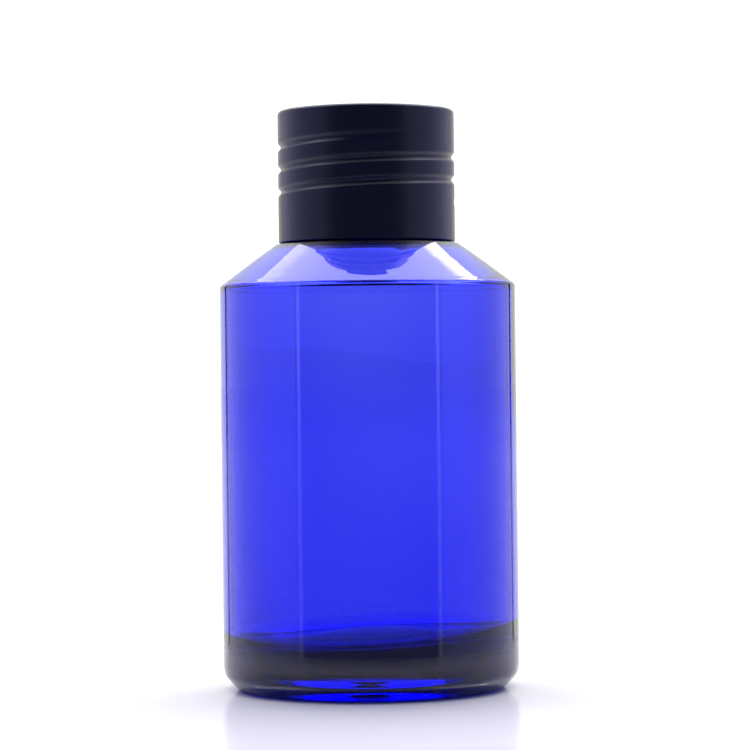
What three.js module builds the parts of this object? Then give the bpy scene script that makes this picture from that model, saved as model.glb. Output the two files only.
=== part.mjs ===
// Aftershave bottle: a thick-based cobalt glass bottle with a conical shoulder,
// a pressed-in orifice reducer, and a black lacquered aluminium screw cap whose
// thread is rolled through the shell, with a foam sealing disc inside it.
//
// Units are millimetres, +Z is up. The origin is the centre of the resting ring,
// on the plane the bottle stands on. Every piece is a turned profile; the neck
// thread and the rolled groove are helical displacements of the turned surface.

import * as THREE from 'three';
import { mergeVertices } from 'three/addons/utils/BufferGeometryUtils.js';

// ---------------------------------------------------------------- dimensions

const SEGMENTS = 40;          // facets round every turned piece

// glass body
const BODY_R = 25.0;          // outside radius of the straight wall
const WALL_TOP = 1.45;        // side wall thickness under the shoulder
const WALL_LOW = 2.0;         // and just above the base: the glass runs thicker downwards
const SHOULDER_WALL = 1.3;    // thickness of the cone, square to its surface
const RING_IN = 18.4;         // resting ring, inner and outer radius
const RING_OUT = 21.5;
const PUNT = 4.4;             // how far the underside is pushed up at the centre
const HEEL = [[22.3, 0.16], [22.95, 0.6], [24.2, 1.95], [24.75, 2.8], [25.0, 4.1]];
const FLOOR_Z = 8.4;          // inside floor, where it meets the heel radius
const FLOOR_DOME = 1.6;       // rise of the inside floor towards its centre
const FLOOR_TILT = 0.0407;    // uneven glass: the floor climbs towards +X, mm per mm
const SHOULDER_Z = 68.0;      // where the cone would meet the straight wall
const SHOULDER_SLOPE = 0.7357; // cone rise per unit of radius
const SHOULDER_R = 0.8;       // rounding of that edge
const SHOULDER_IN_R = 1.1;    // and of the corner inside it
const LAND_R = 15.3;          // flat ring under the cap skirt
const LAND_Z = 75.0;

// neck finish
const NECK_R = 13.0;          // thread root radius
const NECK_TOP = 94.5;
const BORE_R = 9.6;
const THROAT_Z = 73.7;        // underside of the thick ring of glass at the neck's root
const THREAD_H = 1.25;        // thread height, to a crest radius of 14.25
const THREAD_HALF_W = 1.0;

// helix shared by the neck thread and the rolled groove (right-hand)
const PITCH = 3.78;
const HELIX_Z = 85.7;         // groove centre at angle 0
const GROOVE_FROM = -1.03;    // groove ends, in turns from HELIX_Z
const GROOVE_TO = 1.89;
const GROOVE_DEPTH = 0.5;
const GROOVE_HALF_W = 0.95;
const THREAD_ABOVE = 1.55;    // the neck thread lies this far above the groove
const THREAD_FROM = -0.6;
const THREAD_TO = 1.3;

// cap
const CAP_R = 14.92;
const CAP_SHELL = 0.4;
const CAP_BOTTOM = 75.3;
const CAP_TOP = 97.5;
const CAP_EDGE = 0.7;         // rounding of the top edge
const CAP_ROWS = 0.5;         // row spacing in the threaded zones

// foam sealing disc
const LINER_R = 14.1;
const LINER_Z = [95.5, 97.0];

// orifice reducer
const PLUG_FLANGE_R = 12.2;
const PLUG_FLANGE_Z = [94.6, 95.4];
const PLUG_R = 9.25;
const PLUG_RIB_R = 9.42;
const PLUG_IN_R = 8.2;
const PLUG_BOTTOM = 83.5;
const ORIFICE_R = 3.2;

// ------------------------------------------------------------------- helpers

// points of an arc that rounds the corner a-b-c with radius r, ends included
function fillet(a, b, c, r, steps) {
  const A = new THREE.Vector2(...a), B = new THREE.Vector2(...b), C = new THREE.Vector2(...c);
  const u = A.clone().sub(B).normalize(), v = C.clone().sub(B).normalize();
  const half = Math.acos(THREE.MathUtils.clamp(u.dot(v), -1, 1)) / 2;
  const centre = B.clone().add(u.clone().add(v).normalize().multiplyScalar(r / Math.sin(half)));
  const from = B.clone().addScaledVector(u, r / Math.tan(half)).sub(centre);
  const to = B.clone().addScaledVector(v, r / Math.tan(half)).sub(centre);
  let turn = to.angle() - from.angle();
  if (turn > Math.PI) turn -= 2 * Math.PI;
  if (turn < -Math.PI) turn += 2 * Math.PI;
  const out = [];
  for (let i = 0; i <= steps; i++) {
    const p = from.clone().rotateAround(new THREE.Vector2(), turn * i / steps).add(centre);
    out.push([p.x, p.y]);
  }
  return out;
}

// rows of constant radius from z0 towards z1, ends included
function rows(r, z0, z1, step) {
  const n = Math.max(1, Math.round(Math.abs(z1 - z0) / step));
  return Array.from({ length: n + 1 }, (_, i) => [r, z0 + (z1 - z0) * i / n]);
}

// smooth step from 0 to 1 over [0, 1]
const ease = (t) => { const x = THREE.MathUtils.clamp(t, 0, 1); return x * x * (3 - 2 * x); };

// 0 to 1: how strongly a point at (angle, z) lies on a helical rib or groove
function helix(angle, z, zAtZero, halfWidth, from, to, fadeIn, fadeOut) {
  const turn = angle / (2 * Math.PI);
  const n = Math.round((z - zAtZero) / PITCH - turn);
  const u = turn + n;
  const d = z - zAtZero - PITCH * u;
  if (Math.abs(d) >= halfWidth || u <= from || u >= to) return 0;
  return Math.cos(Math.PI * d / (2 * halfWidth)) ** 2
    * ease((u - from) / fadeIn) * ease((to - u) / fadeOut);
}

const groove = (angle, z) => GROOVE_DEPTH
  * helix(angle, z, HELIX_Z, GROOVE_HALF_W, GROOVE_FROM, GROOVE_TO, 0.08, 0.3);
const thread = (angle, z) => THREAD_H
  * helix(angle, z, HELIX_Z + THREAD_ABOVE, THREAD_HALF_W, THREAD_FROM, THREAD_TO, 0.08, 0.08);

// a turned solid; move(radius, z, angle) returns the displaced [radius, z]
function turned(profile, move) {
  const lathe = new THREE.LatheGeometry(profile.map(([r, z]) => new THREE.Vector2(r, z)), SEGMENTS);
  const pos = lathe.attributes.position;
  const rowsCount = profile.length;
  for (let i = 0; i < pos.count; i++) {
    const column = Math.floor(i / rowsCount) % SEGMENTS;
    const angle = 2 * Math.PI * column / SEGMENTS;
    let [r, z] = profile[i % rowsCount];
    if (move) [r, z] = move(r, z, angle, i % rowsCount);
    pos.setXYZ(i, r * Math.cos(angle), r * Math.sin(angle), z);
  }
  lathe.deleteAttribute('normal');
  lathe.deleteAttribute('uv');
  const merged = mergeVertices(lathe, 1e-5);
  const p = merged.attributes.position, old = merged.index.array, kept = [];
  const a = new THREE.Vector3(), b = new THREE.Vector3(), c = new THREE.Vector3();
  let volume = 0;
  for (let i = 0; i < old.length; i += 3) {
    const [x, y, z] = [old[i], old[i + 1], old[i + 2]];
    if (x === y || y === z || z === x) continue;
    kept.push(x, y, z);
    a.fromBufferAttribute(p, x); b.fromBufferAttribute(p, y); c.fromBufferAttribute(p, z);
    volume += a.dot(b.cross(c)) / 6;
  }
  if (volume < 0) for (let i = 0; i < kept.length; i += 3) [kept[i], kept[i + 1]] = [kept[i + 1], kept[i]];
  merged.setIndex(kept);
  merged.computeVertexNormals();
  return merged;
}

function piece(name, geometry, material) {
  const mesh = new THREE.Mesh(geometry, material);
  mesh.name = name;
  return mesh;
}

// -------------------------------------------------------------- glass bottle

const coneZ = (r) => SHOULDER_Z + SHOULDER_SLOPE * (BODY_R - r);
const innerTop = BODY_R - WALL_TOP;
const innerLow = BODY_R - WALL_LOW;
const innerConeZ = (r) => coneZ(r) - SHOULDER_WALL * Math.hypot(1, SHOULDER_SLOPE);

const outside = [
  [0, PUNT], [7, PUNT * 0.995], [12, PUNT * 0.975], [15, PUNT * 0.885], [16.6, PUNT * 0.59],
  [17.8, PUNT * 0.18], [RING_IN, 0],
  [RING_OUT, 0], ...HEEL,
  [BODY_R, 20], [BODY_R, 40], [BODY_R, 58],
  ...fillet([BODY_R, 60], [BODY_R, SHOULDER_Z], [LAND_R, coneZ(LAND_R)], SHOULDER_R, 3),
  [20, coneZ(20)], [LAND_R + 0.35, coneZ(LAND_R + 0.35)], [LAND_R, LAND_Z],
  ...fillet([LAND_R, LAND_Z], [NECK_R, LAND_Z], [NECK_R, 90], 0.6, 2),
  [NECK_R, 80], ...rows(NECK_R, 83.5, 93.5, CAP_ROWS),
  ...fillet([NECK_R, 93.6], [NECK_R, NECK_TOP], [10.5, NECK_TOP], 0.6, 2),
];
const throat = [15, innerConeZ(15)];
const inside = [
  [BORE_R + 0.5, NECK_TOP], [BORE_R, NECK_TOP - 0.5], [BORE_R, 85],
  ...fillet([BORE_R, 85], [BORE_R, THROAT_Z], throat, 2.5, 3),
  ...fillet([BORE_R, THROAT_Z], throat, [innerTop, innerConeZ(innerTop)], 3.0, 2),
  ...fillet(throat, [innerTop, innerConeZ(innerTop)], [innerLow, 12], SHOULDER_IN_R, 3),
  [innerTop - 0.19, 48], [innerTop - 0.37, 30],
  ...fillet([innerLow, 20], [innerLow, FLOOR_Z], [0, FLOOR_Z], 2.5, 3),
  [16.5, FLOOR_Z + FLOOR_DOME * 0.12], [12, FLOOR_Z + FLOOR_DOME * 0.45],
  [6, FLOOR_Z + FLOOR_DOME * 0.86], [0, FLOOR_Z + FLOOR_DOME],
];
const glassProfile = [...outside, ...inside];
const glassGeometry = turned(glassProfile, (r, z, angle, row) => {
  if (row < outside.length) return [r + (z > 81 && r > 12.9 ? thread(angle, z) : 0), z];
  const floorShare = ease((14 - z) / 3);
  return [r, z + FLOOR_TILT * r * Math.cos(angle) * floorShare];
});
const glass = piece('glass_bottle', glassGeometry, new THREE.MeshStandardMaterial({
  color: new THREE.Color(0.05, 0.06, 0.72), roughness: 0.04, metalness: 0,
  transparent: true, opacity: 0.55,
}));

// ----------------------------------------------------------- orifice reducer

const plugProfile = [
  [ORIFICE_R, 92.7], [ORIFICE_R, 93.6],
  [8.6, PLUG_FLANGE_Z[1]], [PLUG_FLANGE_R - 0.2, PLUG_FLANGE_Z[1]],
  [PLUG_FLANGE_R, PLUG_FLANGE_Z[1] - 0.2], [PLUG_FLANGE_R, PLUG_FLANGE_Z[0]],
  [PLUG_R, PLUG_FLANGE_Z[0]], [PLUG_R, 91.6], [PLUG_RIB_R, 91.2], [PLUG_R, 90.8],
  [PLUG_R, 88.2], [PLUG_RIB_R, 87.8], [PLUG_R, 87.4],
  [PLUG_R, 84.6], [PLUG_R - 0.35, PLUG_BOTTOM], [PLUG_IN_R, PLUG_BOTTOM],
  [PLUG_IN_R, 92.9], [7.4, 93.3], [ORIFICE_R + 0.9, 92.7], [ORIFICE_R, 92.7],
];
const plug = piece('orifice_reducer', turned(plugProfile), new THREE.MeshStandardMaterial({
  color: new THREE.Color(0.86, 0.87, 0.86), roughness: 0.45, metalness: 0,
}));

// ----------------------------------------------------------------- screw cap

const CAP_IN = CAP_R - CAP_SHELL;
const capProfile = [
  [0, CAP_TOP],
  ...fillet([5, CAP_TOP], [CAP_R, CAP_TOP], [CAP_R, 90], CAP_EDGE, 3),
  ...rows(CAP_R, 94.3, 80.8, CAP_ROWS),
  [CAP_R, CAP_BOTTOM + 0.15], [CAP_R - 0.15, CAP_BOTTOM], [CAP_IN, CAP_BOTTOM],
  ...rows(CAP_IN, 80.8, 94.3, CAP_ROWS),
  ...fillet([CAP_IN, 90], [CAP_IN, CAP_TOP - CAP_SHELL], [5, CAP_TOP - CAP_SHELL], 0.35, 2),
  [0, CAP_TOP - CAP_SHELL],
];
const cap = piece('cap_shell', turned(capProfile, (r, z, angle) =>
  (r > CAP_IN - 0.01 && z < 95 ? [r - groove(angle, z), z] : [r, z])),
new THREE.MeshStandardMaterial({
  color: new THREE.Color(0.018, 0.018, 0.03), roughness: 0.38, metalness: 0.2,
}));

// --------------------------------------------------------- foam sealing disc

const linerProfile = [
  [0, LINER_Z[0]], [LINER_R - 0.15, LINER_Z[0]], [LINER_R, LINER_Z[0] + 0.15],
  [LINER_R, LINER_Z[1] - 0.15], [LINER_R - 0.15, LINER_Z[1]], [0, LINER_Z[1]],
];
const liner = piece('cap_liner', turned(linerProfile), new THREE.MeshStandardMaterial({
  color: new THREE.Color(0.9, 0.9, 0.88), roughness: 0.9, metalness: 0,
}));

// ------------------------------------------------------------------ assembly

const bottle = new THREE.Group();
bottle.name = 'bottle';
bottle.add(glass, plug);

const closure = new THREE.Group();
closure.name = 'closure';
closure.add(cap, liner);

const part = new THREE.Group();
part.name = 'aftershave_bottle';
part.add(bottle, closure);

export default part;
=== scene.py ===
"""Looks for the aftershave bottle: cobalt glass body, black lacquered screw cap,
orifice reducer and foam sealing disc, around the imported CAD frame."""

import math

import bmesh
import bpy
import numpy as np
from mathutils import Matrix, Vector


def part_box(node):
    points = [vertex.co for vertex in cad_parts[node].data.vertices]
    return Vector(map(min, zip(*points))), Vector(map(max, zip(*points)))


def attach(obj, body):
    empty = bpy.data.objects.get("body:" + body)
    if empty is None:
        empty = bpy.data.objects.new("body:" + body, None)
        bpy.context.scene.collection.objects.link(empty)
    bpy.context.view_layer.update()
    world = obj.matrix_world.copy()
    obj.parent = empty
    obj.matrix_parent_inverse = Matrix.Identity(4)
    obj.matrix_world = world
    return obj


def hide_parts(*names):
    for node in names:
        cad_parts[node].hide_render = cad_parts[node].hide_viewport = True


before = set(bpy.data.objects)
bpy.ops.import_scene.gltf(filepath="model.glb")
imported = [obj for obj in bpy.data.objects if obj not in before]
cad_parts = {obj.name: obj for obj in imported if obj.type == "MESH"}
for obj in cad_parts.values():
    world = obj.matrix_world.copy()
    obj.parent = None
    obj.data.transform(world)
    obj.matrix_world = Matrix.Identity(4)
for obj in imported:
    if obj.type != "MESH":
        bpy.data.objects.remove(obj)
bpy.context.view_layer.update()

MM = 0.001
scene = bpy.context.scene

# ------------------------------------------------------------- CAD references

glass_lo, glass_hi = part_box("glass_bottle")
cap_lo, cap_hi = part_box("cap_shell")
liner_lo, liner_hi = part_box("cap_liner")
plug_lo, plug_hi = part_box("orifice_reducer")

Z0 = glass_lo.z / MM                          # the plane it stands on
BODY_R = (glass_hi.x - glass_lo.x) / 2 / MM   # 25.0
NECK_TOP = glass_hi.z / MM                    # 94.5
CAP_R = (cap_hi.x - cap_lo.x) / 2 / MM        # 14.92
CAP_BOTTOM, CAP_TOP = cap_lo.z / MM, cap_hi.z / MM
LINER_R = (liner_hi.x - liner_lo.x) / 2 / MM
LINER_Z = (liner_lo.z / MM, liner_hi.z / MM)
FLANGE_R = (plug_hi.x - plug_lo.x) / 2 / MM
FLANGE_TOP, PLUG_BOTTOM = plug_hi.z / MM, plug_lo.z / MM

PITCH = 3.78                                  # rise of the thread per turn

# dimensions shared with the CAD profile, in mm
WALL_TOP, WALL_LOW, SHOULDER_WALL = 1.45, 2.0, 1.3
THROAT_Z = 73.7
RING_IN, RING_OUT = 18.4, 21.5
PUNT = 4.4
FLOOR_Z, FLOOR_DOME, FLOOR_TILT = 8.4, 1.6, 0.0407
SHOULDER_Z, SHOULDER_SLOPE, SHOULDER_R = 68.0, 0.7357, 0.8
SHOULDER_IN_R = 1.1
CONE_BULGE = 0.09              # the cone swells a little between its two edges
LAND_R, LAND_Z = 15.3, 75.0
NECK_R, BORE_R = 13.0, 9.6
THREAD_H, THREAD_HALF_W = 1.25, 1.0
HELIX_Z = 85.7
GROOVE_FROM, GROOVE_TO, GROOVE_DEPTH, GROOVE_HALF_W = -1.03, 1.89, 0.5, 0.95
THREAD_ABOVE, THREAD_FROM, THREAD_TO = 1.55, -0.6, 1.3
CAP_SHELL, CAP_EDGE = 0.4, 0.7
ORIFICE_R = 3.2

# -------------------------------------------------------------- mesh helpers


def fillet(a, b, c, r, steps):
    A, B, C = (np.array(p, float) for p in (a, b, c))
    u, v = A - B, C - B
    u /= np.linalg.norm(u)
    v /= np.linalg.norm(v)
    half = math.acos(max(-1, min(1, float(u @ v)))) / 2
    w = (u + v) / np.linalg.norm(u + v)
    centre = B + w * (r / math.sin(half))
    p, q = B + u * (r / math.tan(half)) - centre, B + v * (r / math.tan(half)) - centre
    a0, a1 = math.atan2(p[1], p[0]), math.atan2(q[1], q[0])
    turn = (a1 - a0 + math.pi) % (2 * math.pi) - math.pi
    return [
        (centre[0] + r * math.cos(a0 + turn * i / steps),
         centre[1] + r * math.sin(a0 + turn * i / steps))
        for i in range(steps + 1)
    ]


def refine(points, step):
    """Adds points along a polyline so that no stretch is longer than step."""
    out = [points[0]]
    for p, q in zip(points, points[1:]):
        n = max(1, int(math.ceil(math.dist(p, q) / step)))
        for i in range(1, n + 1):
            t = i / n
            out.append((p[0] + (q[0] - p[0]) * t, p[1] + (q[1] - p[1]) * t))
    return out


def spline(points, n):
    """A smooth curve through the points (Catmull-Rom, centripetal enough here)."""
    P = [np.array(p, float) for p in points]
    P = [2 * P[0] - P[1]] + P + [2 * P[-1] - P[-2]]
    out = []
    for i in range(1, len(P) - 2):
        for k in range(n):
            t = k / n
            a, b, c, d = P[i - 1], P[i], P[i + 1], P[i + 2]
            out.append(tuple(0.5 * ((2 * b) + (c - a) * t + (2 * a - 5 * b + 4 * c - d) * t * t
                                    + (3 * b - a - 3 * c + d) * t ** 3)))
    out.append(tuple(P[-2]))
    return out


def ease(t):
    t = np.clip(t, 0.0, 1.0)
    return t * t * (3 - 2 * t)


def helix(angle, z, z_at_zero, half_w, start, end, fade_in, fade_out):
    turn = angle / (2 * math.pi)
    n = np.round((z - z_at_zero) / PITCH - turn)
    u = turn + n
    d = z - z_at_zero - PITCH * u
    k = np.cos(math.pi * d / (2 * half_w)) ** 2
    k = k * ease((u - start) / fade_in) * ease((end - u) / fade_out)
    return np.where((np.abs(d) < half_w) & (u > start) & (u < end), k, 0.0)


def turned(name, profile, segments, move=None, sharp=32.0, closed=False):
    """A turned piece. profile is (r, z) in mm; points on the axis become one vertex.
    move(r, z, angle, row) gives displaced r, z and an angle as arrays."""
    prof = [profile[0]]
    for p in profile[1:]:
        if math.dist(p, prof[-1]) > 1e-4:
            prof.append(p)
    prof = [(float(r), float(z)) for r, z in prof]
    angles = np.arange(segments) * 2 * math.pi / segments
    verts, index = [], []
    for row, (r, z) in enumerate(prof):
        if r < 1e-6:
            zz = z
            if move is not None:
                _, zm = move(np.array([0.0]), np.array([z]), np.array([0.0]), row)
                zz = float(np.asarray(zm).ravel()[0])
            index.append([len(verts)] * segments)
            verts.append((0.0, 0.0, zz))
            continue
        R, Z = np.full(segments, r), np.full(segments, z)
        if move is not None:
            R, Z = move(R, Z, angles, row)
        index.append(list(range(len(verts), len(verts) + segments)))
        verts.extend(zip(R * np.cos(angles), R * np.sin(angles), Z))
    faces = []
    pairs = list(zip(range(len(prof) - 1), range(1, len(prof))))
    if closed:
        pairs.append((len(prof) - 1, 0))
    for a, b in pairs:
        for i in range(segments):
            j = (i + 1) % segments
            f = [index[a][i], index[a][j], index[b][j], index[b][i]]
            g = []
            for v in f:
                if v not in g:
                    g.append(v)
            if len(g) > 2:
                faces.append(g)
    mesh = bpy.data.meshes.new(name)
    mesh.from_pydata([(x * MM, y * MM, z * MM) for x, y, z in verts], [], faces)
    bm = bmesh.new()
    bm.from_mesh(mesh)
    bmesh.ops.recalc_face_normals(bm, faces=bm.faces)
    if bm.calc_volume(signed=True) < 0:
        bmesh.ops.reverse_faces(bm, faces=bm.faces)
    limit = math.radians(sharp)
    for e in bm.edges:
        if len(e.link_faces) == 2:
            e.smooth = e.calc_face_angle(0.0) < limit
    for f in bm.faces:
        f.smooth = True
    bm.to_mesh(mesh)
    bm.free()
    obj = bpy.data.objects.new(name, mesh)
    scene.collection.objects.link(obj)
    return obj


# ------------------------------------------------------------- glass bottle

cone_z = lambda r: SHOULDER_Z + SHOULDER_SLOPE * (BODY_R - r)
inner_top, inner_low = BODY_R - WALL_TOP, BODY_R - WALL_LOW
inner_cone_z = lambda r: cone_z(r) - SHOULDER_WALL * math.hypot(1.0, SHOULDER_SLOPE)
throat = (15.0, inner_cone_z(15.0))
corner_in = (inner_top, inner_cone_z(inner_top))

underside = spline([(0, PUNT), (7, PUNT * 0.995), (12, PUNT * 0.975), (15.0, PUNT * 0.885), (16.6, PUNT * 0.59), (17.8, PUNT * 0.18), (RING_IN, 0.0)], 8)
outer = list(underside)
outer += [(RING_IN + 1.0, 0.0), (RING_OUT - 0.8, 0.0)]
outer += spline([(RING_OUT, 0.0), (22.3, 0.16), (22.95, 0.6), (24.2, 1.95), (24.75, 2.8), (BODY_R, 4.1)], 6)
wall_out = refine([(BODY_R, 4.8), (BODY_R, SHOULDER_Z - 1.6)], 1.5)
outer += wall_out
outer += fillet((BODY_R, 60), (BODY_R, SHOULDER_Z), (LAND_R, cone_z(LAND_R)), SHOULDER_R, 12)
outer += refine([(BODY_R - 0.8, cone_z(BODY_R - 0.8)), (LAND_R + 0.35, cone_z(LAND_R + 0.35))], 0.2)
outer += [(LAND_R + 0.1, cone_z(LAND_R + 0.2)), (LAND_R - 0.15, LAND_Z)]
outer += fillet((LAND_R, LAND_Z), (NECK_R, LAND_Z), (NECK_R, 90), 0.6, 6)
outer += refine([(NECK_R, 76.2), (NECK_R, 82.6)], 0.8)
outer += refine([(NECK_R, 82.8), (NECK_R, 93.5)], 0.2)
outer += fillet((NECK_R, 93.6), (NECK_R, NECK_TOP), (10.5, NECK_TOP), 0.6, 7)

inner = fillet((12.0, NECK_TOP), (BORE_R, NECK_TOP), (BORE_R, 90), 0.5, 6)
inner += refine([(BORE_R, 93.4), (BORE_R, 77.2)], 1.2)
inner += fillet((BORE_R, 85), (BORE_R, THROAT_Z), throat, 2.5, 12)
inner += fillet((BORE_R, THROAT_Z), throat, corner_in, 3.0, 8)
inner += refine([(16.0, inner_cone_z(16.0)), (inner_top - 0.5, inner_cone_z(inner_top - 0.5))], 0.5)
inner += fillet(throat, corner_in, (inner_low, 12), SHOULDER_IN_R, 10)
inner += refine([(inner_top - 0.01, 66.0), (inner_low, 11.6)], 1.5)
inner += fillet((inner_low, 20), (inner_low, FLOOR_Z), (0, FLOOR_Z), 2.5, 14)
inner += spline([(20.4, FLOOR_Z + 0.01), (16.5, FLOOR_Z + FLOOR_DOME * 0.12), (12, FLOOR_Z + FLOOR_DOME * 0.45),
                 (6, FLOOR_Z + FLOOR_DOME * 0.86), (0, FLOOR_Z + FLOOR_DOME)], 8)


def clean(points):
    out = [points[0]]
    for p in points[1:]:
        if math.dist(p, out[-1]) > 0.02:
            out.append(p)
    return out


outer, inner = clean(outer), clean(inner)
GLASS_OUTER = len(outer)


def wave(angle, z, terms):
    """Slow ripples left by the mould and the blow: a fixed sum of a few sines."""
    s = 0.0
    for n, k, ph, amp in terms:
        s = s + amp * np.sin(n * angle + k * z + ph)
    return s


IN_WAVES = [(2, 0.045, 0.6, 0.050), (3, -0.07, 2.1, 0.030), (5, 0.11, 4.0, 0.014),
            (1, 0.16, 1.3, 0.030), (7, 0.05, 5.2, 0.008), (11, -0.03, 0.4, 0.004)]
OUT_WAVES = [(2, 0.03, 1.9, 0.010), (3, 0.09, 0.3, 0.006), (9, 0.21, 2.6, 0.0016)]
CONE_WAVES = [(13, 0.9, 0.2, 0.0030), (23, -1.3, 1.7, 0.0016), (6, 0.5, 3.3, 0.0050), (37, 1.9, 0.9, 0.0006),
              (3, 5.3, 0.7, 0.0009), (5, -7.9, 2.9, 0.0004), (2, 3.4, 4.4, 0.0016)]


def glass_move(r, z, angle, row):
    if row < GLASS_OUTER:
        rr = r
        if 81.0 < z[0] and r[0] > 12.9:
            rr = r + THREAD_H * helix(angle, z, HELIX_Z + THREAD_ABOVE, THREAD_HALF_W,
                                      THREAD_FROM, THREAD_TO, 0.08, 0.08)
        if r[0] > 20 and 4.2 < z[0] < 72:
            share = float(ease((z[0] - 4.2) / 8) * ease((70.5 - z[0]) / 6))
            rr = rr - 0.018 * share + share * wave(angle, z, OUT_WAVES)
        if 68.6 < z[0] < 75.2 and r[0] > LAND_R:
            share = float(ease((z[0] - 68.6) / 1.0) * ease((75.0 - z[0]) / 1.0))
            w = wave(angle, z, CONE_WAVES) * share
            swell = CONE_BULGE * math.sin(math.pi * min(1.0, max(0.0, (r[0] - LAND_R) / (BODY_R - LAND_R))))
            return rr + 0.6 * w, z + 0.8 * w + swell
        return rr, z
    zz = z
    if z[0] < 14:
        floor_share = ease((14 - z) / 3)
        zz = z + FLOOR_TILT * r * np.cos(angle) * floor_share
    if r[0] > 12 and z[0] < 74:
        share = float(ease((r[0] - 12) / 8))
        w = wave(angle, z, IN_WAVES) * share
        return r + w, zz + (0.25 * w if z[0] < 12 else 0.0)
    return r, zz


glass = turned("bottle_glass", outer + inner, 320, glass_move, sharp=24.0)

# ----------------------------------------------------------------- screw cap

CAP_IN = CAP_R - CAP_SHELL
cap_profile = [(0, CAP_TOP - 0.02), (4, CAP_TOP - 0.018), (8, CAP_TOP - 0.008), (12, CAP_TOP)]
cap_profile += fillet((5, CAP_TOP), (CAP_R, CAP_TOP), (CAP_R, 90), CAP_EDGE, 12)
cap_profile += refine([(CAP_R, 96.6), (CAP_R, 94.6)], 0.5)
cap_profile += refine([(CAP_R, 94.4), (CAP_R, 80.7)], 0.14)
cap_profile += refine([(CAP_R, 80.4), (CAP_R, CAP_BOTTOM + 0.3)], 0.8)
cap_profile += fillet((CAP_R, 90), (CAP_R, CAP_BOTTOM), (10, CAP_BOTTOM), 0.15, 4)
cap_profile += fillet((CAP_R, CAP_BOTTOM), (CAP_IN, CAP_BOTTOM), (CAP_IN, 90), 0.12, 4)
cap_profile += refine([(CAP_IN, CAP_BOTTOM + 0.4), (CAP_IN, 80.6)], 1.0)
cap_profile += refine([(CAP_IN, 80.8), (CAP_IN, 94.3)], 0.25)
cap_profile += fillet((CAP_IN, 90), (CAP_IN, CAP_TOP - CAP_SHELL), (5, CAP_TOP - CAP_SHELL), 0.35, 5)
cap_profile += [(8, CAP_TOP - CAP_SHELL), (0, CAP_TOP - CAP_SHELL)]
cap_profile = clean(cap_profile)


def cap_move(r, z, angle, row):
    if r[0] > CAP_IN - 0.01 and z[0] < 95:
        g = GROOVE_DEPTH * helix(angle, z, HELIX_Z, GROOVE_HALF_W, GROOVE_FROM, GROOVE_TO, 0.08, 0.3)
        return r - g, z
    return r, z


cap = turned("cap_black_shell", cap_profile, 288, cap_move, sharp=38.0)

# --------------------------------------------------------- foam sealing disc

liner_profile = [(0, LINER_Z[0])]
liner_profile += refine([(0.6, LINER_Z[0]), (12.9, LINER_Z[0])], 0.5)
liner_profile += fillet((12, LINER_Z[0]), (LINER_R, LINER_Z[0]), (LINER_R, LINER_Z[1]), 0.25, 5)
liner_profile += fillet((LINER_R, LINER_Z[0]), (LINER_R, LINER_Z[1]), (12, LINER_Z[1]), 0.25, 5)
liner_profile += [(8, LINER_Z[1]), (0, LINER_Z[1])]


def liner_move(r, z, angle, row):
    """The underside keeps the ring that the reducer's flange pressed into it."""
    if z[0] < (LINER_Z[0] + LINER_Z[1]) / 2 and r[0] < LINER_R - 0.4:
        d = 0.22 * np.exp(-((r - 11.2) / 1.0) ** 2)
        return r, z + d + 0.012 * np.sin(17 * angle + r) * np.minimum(r / 4, 1)
    return r, z


liner = turned("foam_liner_disc", clean(liner_profile), 128, liner_move, sharp=50.0)

# ----------------------------------------------------------- orifice reducer

PLUG_R, PLUG_RIB_R, PLUG_IN_R = 9.25, 9.42, 8.2
FLANGE_UNDER = FLANGE_TOP - 0.8
plug_profile = []
plug_profile += fillet((7.4, 93.0), (ORIFICE_R, 92.7), (ORIFICE_R, 93.6), 0.12, 3)
plug_profile += fillet((ORIFICE_R, 92.7), (ORIFICE_R, 93.6), (8.6, FLANGE_TOP), 0.3, 5)
plug_profile += fillet((ORIFICE_R, 93.6), (8.6, FLANGE_TOP), (12, FLANGE_TOP), 1.2, 6)
plug_profile += fillet((9, FLANGE_TOP), (FLANGE_R, FLANGE_TOP), (FLANGE_R, 90), 0.25, 5)
plug_profile += fillet((FLANGE_R, 96), (FLANGE_R, FLANGE_UNDER), (9, FLANGE_UNDER), 0.15, 3)
plug_profile += [(PLUG_R + 0.05, FLANGE_UNDER), (PLUG_R, FLANGE_UNDER - 0.1)]
for zc in (91.2, 87.8):
    plug_profile += [(PLUG_R, zc + 0.45), (PLUG_RIB_R - 0.05, zc + 0.12), (PLUG_RIB_R, zc),
                     (PLUG_RIB_R - 0.05, zc - 0.12), (PLUG_R, zc - 0.45)]
plug_profile += [(PLUG_R, 84.6), (PLUG_R - 0.3, PLUG_BOTTOM + 0.1), (PLUG_R - 0.45, PLUG_BOTTOM),
                 (PLUG_IN_R + 0.1, PLUG_BOTTOM), (PLUG_IN_R, PLUG_BOTTOM + 0.1), (PLUG_IN_R, 92.8)]
plug_profile += fillet((PLUG_IN_R, 91), (PLUG_IN_R, 93.3), (6, 92.9), 0.5, 4)
plug_profile += [(ORIFICE_R + 0.9, 92.72)]
plug = turned("reducer_insert", clean(plug_profile), 160, None, sharp=34.0, closed=True)

for piece, body, node, slot in ((glass, "bottle", "glass_bottle", "cobalt_glass"),
                                (cap, "cap", "cap_shell", "cap_black"),
                                (liner, "seal", "cap_liner", "foam_white"),
                                (plug, "bottle", "orifice_reducer", "natural_polyethylene")):
    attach(piece, body)
    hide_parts(node)

# ------------------------------------------------------------------ materials


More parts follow.
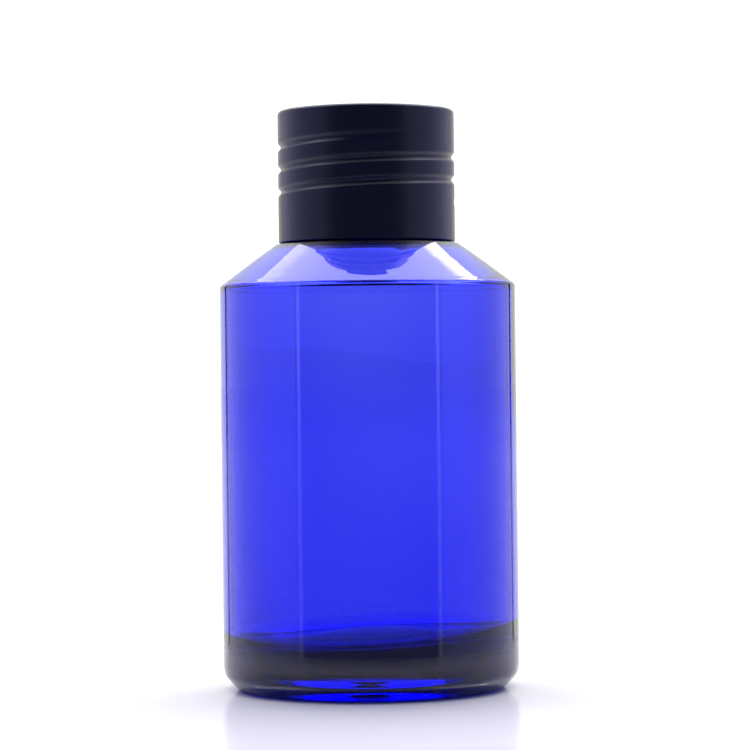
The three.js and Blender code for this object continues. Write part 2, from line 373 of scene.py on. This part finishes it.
class Nodes:
    """A little shorthand for node trees."""

    def __init__(self, tree):
        self.t = tree
        tree.nodes.clear()

    def new(self, kind, **props):
        n = self.t.nodes.new(kind)
        for k, v in props.items():
            setattr(n, k, v)
        return n

    def put(self, socket, value):
        if isinstance(value, bpy.types.NodeSocket):
            self.t.links.new(value, socket)
        else:
            socket.default_value = value

    def math(self, op, *args, clamp=False):
        n = self.new("ShaderNodeMath", operation=op)
        n.use_clamp = clamp
        for s, a in zip(n.inputs, args):
            self.put(s, a)
        return n.outputs[0]

    def step(self, x, a, b):
        """0 at a, 1 at b, smooth between them (a may be above b)."""
        n = self.new("ShaderNodeMapRange", interpolation_type="SMOOTHSTEP")
        n.clamp = True
        self.put(n.inputs["Value"], x)
        lo, hi, y0, y1 = (a, b, 0.0, 1.0) if a < b else (b, a, 1.0, 0.0)
        n.inputs["From Min"].default_value = lo
        n.inputs["From Max"].default_value = hi
        n.inputs["To Min"].default_value = y0
        n.inputs["To Max"].default_value = y1
        return n.outputs[0]

    def ramp(self, x, points, mode="LINEAR"):
        """A scalar curve given as (position, value) pairs; positions 0 to 1."""
        n = self.new("ShaderNodeValToRGB")
        n.color_ramp.interpolation = mode
        e = n.color_ramp.elements
        while len(e) > 1:
            e.remove(e[-1])
        for i, (p, v) in enumerate(points):
            c = (v, v, v, 1) if not hasattr(v, "__len__") else (*v, 1)
            if i == 0:
                e[0].position, e[0].color = p, c
            else:
                k = e.new(p)
                k.color = c
        self.put(n.inputs["Fac"], x)
        return n.outputs["Color"]

    def mix(self, fac, a, b):
        n = self.new("ShaderNodeMix", data_type="RGBA")
        self.put(n.inputs[0], fac)
        self.put(n.inputs[6], a)
        self.put(n.inputs[7], b)
        return n.outputs[2]

    def scale(self, colour, factor):
        n = self.new("ShaderNodeVectorMath", operation="SCALE")
        self.put(n.inputs[0], colour)
        self.put(n.inputs[3], factor)
        return n.outputs[0]

    def noise(self, vec, scale, detail=2.0, rough=0.5, dims="3D"):
        n = self.new("ShaderNodeTexNoise", noise_dimensions=dims)
        self.put(n.inputs["Vector"], vec)
        n.inputs["Scale"].default_value = scale
        n.inputs["Detail"].default_value = detail
        n.inputs["Roughness"].default_value = rough
        return n.outputs["Fac"]

    def coords(self, which="Object"):
        return self.new("ShaderNodeTexCoord").outputs[which]


def material(name):
    m = bpy.data.materials.new(name)
    m.use_nodes = True
    return m, Nodes(m.node_tree)


# cobalt glass: clear surface, colour in the volume
m_glass, g = material("cobalt_glass")
out = g.new("ShaderNodeOutputMaterial")
bsdf = g.new("ShaderNodeBsdfPrincipled")
bsdf.inputs["Base Color"].default_value = (1.0, 1.0, 1.0, 1.0)
bsdf.inputs["Transmission Weight"].default_value = 1.0
bsdf.inputs["IOR"].default_value = 1.52
pos = g.coords()
haze = g.ramp(g.noise(pos, 140.0, 5.0, 0.6), [(0.0, 0.0), (0.62, 0.0), (0.9, 0.02)])
g.put(bsdf.inputs["Roughness"], haze)
bump = g.new("ShaderNodeBump")
bump.inputs["Strength"].default_value = 0.05
bump.inputs["Distance"].default_value = 0.0002
g.put(bump.inputs["Height"], g.noise(pos, 70.0, 1.0, 0.4))
g.put(bsdf.inputs["Normal"], bump.outputs[0])
vol = g.new("ShaderNodeVolumeAbsorption")
vol.inputs["Color"].default_value = (0.064, 0.141, 0.918, 1.0)
vol.inputs["Density"].default_value = 1100.0
g.put(out.inputs["Surface"], bsdf.outputs[0])
g.put(out.inputs["Volume"], vol.outputs[0])

# black satin lacquer over aluminium; the blue cast in its base colour is painted bluish reflection, while the
# near-black and the mottle are the lacquer's own
m_cap, g = material("cap_black_lacquer")
out = g.new("ShaderNodeOutputMaterial")
bsdf = g.new("ShaderNodeBsdfPrincipled")
pos = g.coords()
grain = g.noise(pos, 5200.0, 3.0, 0.6)
mottle = g.noise(pos, 260.0, 4.0, 0.55)
# painted reflection: the blue in these two near-black colours stands in for bluish reflected light, the black itself
# is the lacquer's colour
cap_black_and_painted_blue_cast = g.mix(mottle, (0.0012, 0.0026, 0.0080, 1), (0.0020, 0.0038, 0.0120, 1))
g.put(bsdf.inputs["Base Color"], cap_black_and_painted_blue_cast)
rough = g.math("ADD", g.math("MULTIPLY", mottle, 0.05), g.math("MULTIPLY", grain, 0.06))
rough = g.math("ADD", rough, 0.235)
g.put(bsdf.inputs["Roughness"], rough)
bsdf.inputs["IOR"].default_value = 1.42
bump = g.new("ShaderNodeBump")
bump.inputs["Strength"].default_value = 0.12
bump.inputs["Distance"].default_value = 0.00004
g.put(bump.inputs["Height"], grain)
g.put(bsdf.inputs["Normal"], bump.outputs[0])
g.put(out.inputs["Surface"], bsdf.outputs[0])

# expanded polyethylene foam, closed cells with a smooth skin
m_foam, g = material("foam_white")
out = g.new("ShaderNodeOutputMaterial")
bsdf = g.new("ShaderNodeBsdfPrincipled")
pos = g.coords()
cells = g.new("ShaderNodeTexVoronoi", feature="DISTANCE_TO_EDGE")
cells.inputs["Scale"].default_value = 1900.0
g.put(cells.inputs["Vector"], pos)
walls = g.ramp(cells.outputs["Distance"], [(0.0, 1.0), (0.12, 0.25), (0.5, 0.0)])
cloud = g.noise(pos, 420.0, 3.0)
tone = g.mix(cloud, (0.80, 0.80, 0.775, 1), (0.90, 0.90, 0.885, 1))
tone = g.mix(g.math("MULTIPLY", walls, 0.35), tone, (0.66, 0.66, 0.64, 1))
g.put(bsdf.inputs["Base Color"], tone)
g.put(bsdf.inputs["Roughness"], g.math("ADD", g.math("MULTIPLY", walls, 0.2), 0.62))
bump = g.new("ShaderNodeBump")
bump.inputs["Strength"].default_value = 0.55
bump.inputs["Distance"].default_value = 0.00012
g.put(bump.inputs["Height"], g.math("SUBTRACT", 1.0, walls))
g.put(bsdf.inputs["Normal"], bump.outputs[0])
g.put(out.inputs["Surface"], bsdf.outputs[0])

# natural low-density polyethylene: waxy, slightly cloudy
m_pe, g = material("natural_polyethylene")
out = g.new("ShaderNodeOutputMaterial")
bsdf = g.new("ShaderNodeBsdfPrincipled")
pos = g.coords()
cloud = g.noise(pos, 330.0, 4.0, 0.6)
fine = g.noise(pos, 3800.0, 2.0, 0.5)
g.put(bsdf.inputs["Base Color"], g.mix(cloud, (0.74, 0.755, 0.75, 1), (0.86, 0.87, 0.865, 1)))
g.put(bsdf.inputs["Roughness"], g.math("ADD", g.math("MULTIPLY", cloud, 0.12), 0.36))
bsdf.inputs["IOR"].default_value = 1.51
bsdf.inputs["Transmission Weight"].default_value = 0.25
bump = g.new("ShaderNodeBump")
bump.inputs["Strength"].default_value = 0.2
bump.inputs["Distance"].default_value = 0.00003
g.put(bump.inputs["Height"], fine)
g.put(bsdf.inputs["Normal"], bump.outputs[0])
g.put(out.inputs["Surface"], bsdf.outputs[0])

for piece, m in ((glass, m_glass), (cap, m_cap), (liner, m_foam), (plug, m_pe)):
    piece.data.materials.clear()
    piece.data.materials.append(m)
for name, m in (("glass_bottle", m_glass), ("cap_shell", m_cap), ("cap_liner", m_foam), ("orifice_reducer", m_pe)):
    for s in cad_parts[name].material_slots:
        s.material = m

# ---------------------------------------------------------------------- stage

floor_mesh = bpy.data.meshes.new("studio_floor")
H = 12.0
floor_mesh.from_pydata([(-H, -H, 0), (H, -H, 0), (H, H, 0), (-H, H, 0)], [], [(0, 1, 2, 3)])
floor = bpy.data.objects.new("studio_floor", floor_mesh)
floor.location.z = glass_lo.z - 0.00002
scene.collection.objects.link(floor)
m_floor, g = material("studio_floor")
out = g.new("ShaderNodeOutputMaterial")
pos = g.coords()
matte = g.new("ShaderNodeBsdfDiffuse")
parts = g.new("ShaderNodeSeparateXYZ")
g.put(parts.inputs[0], pos)
across, fall = parts.outputs[0], parts.outputs[1]
reach = g.math("SQRT", g.math("ADD", g.math("POWER", g.math("ABSOLUTE", across), 2.0), g.math("POWER", g.math("ABSOLUTE", fall), 2.0)))
# painted shade: the floor's diffuse colour is 0.03 darker towards the camera, from just behind the object's centre
# to just in front of it
shade = g.math("ADD", 0.755, g.math("MULTIPLY", g.step(fall, 0.06, -0.02), -0.03))
shade = g.math("ADD", shade, g.math("MULTIPLY", g.noise(pos, 30.0, 3.0), 0.01))
g.put(matte.inputs["Color"], g.scale((1.0, 1.0, 0.88), shade))
gloss = g.new("ShaderNodeBsdfGlossy")
far = g.step(reach, 0.4, 3.0)
g.put(gloss.inputs["Color"], g.mix(far, (0.95, 0.95, 0.95, 1), (1.0, 1.0, 1.0, 1)))
grade = g.math("ADD", 0.19, g.math("MULTIPLY", far, -0.12))
grade = g.math("ADD", grade, g.math("MULTIPLY", g.step(reach, 0.074, 0.045), -0.09))
g.put(gloss.inputs["Roughness"], g.math("ADD", g.math("MULTIPLY", g.noise(pos, 18.0, 2.0), 0.03), grade))
both = g.new("ShaderNodeMixShader")
share = g.math("ADD", 0.22, g.math("MULTIPLY", g.step(reach, 0.074, 0.112), 0.66))
g.put(both.inputs[0], g.math("ADD", share, g.math("MULTIPLY", far, 0.12)))
g.put(both.inputs[1], matte.outputs[0])
g.put(both.inputs[2], gloss.outputs[0])
g.put(out.inputs["Surface"], both.outputs[0])
floor_mesh.materials.append(m_floor)

# the studio: soft light from all round, painted on the world
world = bpy.data.worlds.new("soft_studio")
scene.world = world
world.use_nodes = True
w = Nodes(world.node_tree)
d = w.coords("Generated")
sep = w.new("ShaderNodeSeparateXYZ")
w.put(sep.inputs[0], d)
dx, dy, dz = sep.outputs
zc = w.math("MAXIMUM", dz, 0.0)
alpha = w.math("MULTIPLY", w.math("ARCTAN2", w.math("ABSOLUTE", dx), dy), 180 / math.pi)
elev = w.math("MULTIPLY", w.math("ARCSINE", zc), 180 / math.pi)

# white sweep behind the object, brighter towards its top
back = w.math("ADD", 1.34, w.math("MULTIPLY", w.step(elev, 12.0, 41.0), 0.9))
back = w.math("MULTIPLY", back, w.ramp(w.math("DIVIDE", alpha, 45.0),
              [(0.0, 1.05), (4.0 / 45, 1.03), (7.0 / 45, 0.90), (11.0 / 45, 0.74), (16.0 / 45, 0.78), (1.0, 0.95)], "B_SPLINE"))
in_back = w.step(alpha, 33.9, 33.1)
# tall side diffusers, falling off towards the camera
side = w.ramp(w.math("DIVIDE", alpha, 180.0),
              [(0.0, 1.1), (37.5 / 180, 1.1), (55 / 180, 0.95), (65 / 180, 0.86), (75 / 180, 0.73), (85 / 180, 0.63),
               (95 / 180, 0.55), (105 / 180, 0.48), (115 / 180, 0.40), (122 / 180, 0.36), (1.0, 0.30)])
in_side = w.math("MULTIPLY", w.step(alpha, 37.1, 37.9), w.step(alpha, 122.5, 121.5))
side_up = w.math("ADD", 0.25, w.math("MULTIPLY", 0.75, w.step(elev, 62.0, 44.0)))
# narrow bright edge of the diffusers' frame
in_line = w.math("MULTIPLY", w.step(alpha, 123.2, 123.8), w.step(alpha, 127.0, 126.0))
in_front = w.step(alpha, 126.6, 128.0)

colour = w.scale((1.02, 1.03, 0.96), w.math("MULTIPLY", back, in_back))


def add(a, b):
    n = w.new("ShaderNodeVectorMath", operation="ADD")
    w.put(n.inputs[0], a)
    w.put(n.inputs[1], b)
    return n.outputs[0]


tint = w.new("ShaderNodeVectorMath", operation="MULTIPLY")
w.put(tint.inputs[0], side)
w.put(tint.inputs[1], w.ramp(w.math("DIVIDE", alpha, 180.0),
      [(40 / 180, (1.0, 0.98, 1.30)), (65 / 180, (1.0, 0.98, 1.60)), (85 / 180, (1.0, 0.98, 1.80)),
       (105 / 180, (1.0, 1.0, 2.10)), (122 / 180, (1.0, 1.0, 2.30))]))
colour = add(colour, w.scale(tint.outputs[0], w.math("MULTIPLY", in_side, side_up)))
colour = add(colour, w.scale((1.0, 0.97, 1.2), w.math("MULTIPLY", in_line, 1.1)))
colour = add(colour, w.scale((0.045, 0.060, 0.20), in_front))
colour = add(colour, (0.012, 0.012, 0.02))
# overhead softbox, from a little in front of the object to high behind it
zs = w.math("MAXIMUM", dz, 0.02)
gx = w.math("ABSOLUTE", w.math("DIVIDE", dx, zs))
gy = w.math("DIVIDE", dy, zs)
in_top = w.math("MULTIPLY", w.step(gx, 0.93, 0.87), w.math("MULTIPLY", w.step(gy, -0.42, -0.34), w.step(gy, 1.12, 1.06)))
gsx = w.math("DIVIDE", dx, zs)
hot = w.math("MULTIPLY", w.step(gy, 0.70, 0.82), w.math("ADD", 0.7, w.math("MULTIPLY", w.step(gsx, -0.1, 0.3), 3.0)))
top = w.scale((1.0, 0.97, 1.20), w.math("ADD", w.math("ADD", 1.4, w.math("MULTIPLY", 2.6, w.step(gy, -0.03, 0.03))), hot))
final = w.mix(in_top, colour, top)
bg = w.new("ShaderNodeBackground")
w.put(bg.inputs["Color"], final)
bg.inputs["Strength"].default_value = 1.0
wout = w.new("ShaderNodeOutputWorld")
w.put(wout.inputs["Surface"], bg.outputs[0])
world.cycles.sampling_method = "MANUAL"
world.cycles.sample_map_resolution = 1024

# --------------------------------------------------------------------- camera

cam_data = bpy.data.cameras.new("camera")
cam_data.lens = 134.8
cam_data.sensor_width = 36.0
cam_data.clip_start, cam_data.clip_end = 0.01, 20.0
cam = bpy.data.objects.new("camera", cam_data)
cam.location = (0.001117, -0.4751, 0.05284)
cam.rotation_euler = (math.radians(90.0), math.radians(0.63), 0.0)
scene.collection.objects.link(cam)
scene.camera = cam

scene.view_settings.view_transform = "Standard"
scene.view_settings.look = "None"
scene.view_settings.exposure = 0.0
scene.view_settings.gamma = 1.0
cy = scene.cycles
cy.max_bounces = 32
cy.transmission_bounces = 28
cy.glossy_bounces = 12
cy.diffuse_bounces = 4
cy.transparent_max_bounces = 12
cy.caustics_reflective = True
cy.caustics_refractive = True
cy.blur_glossy = 0.3
cy.sample_clamp_indirect = 12.0
cy.use_denoising = True
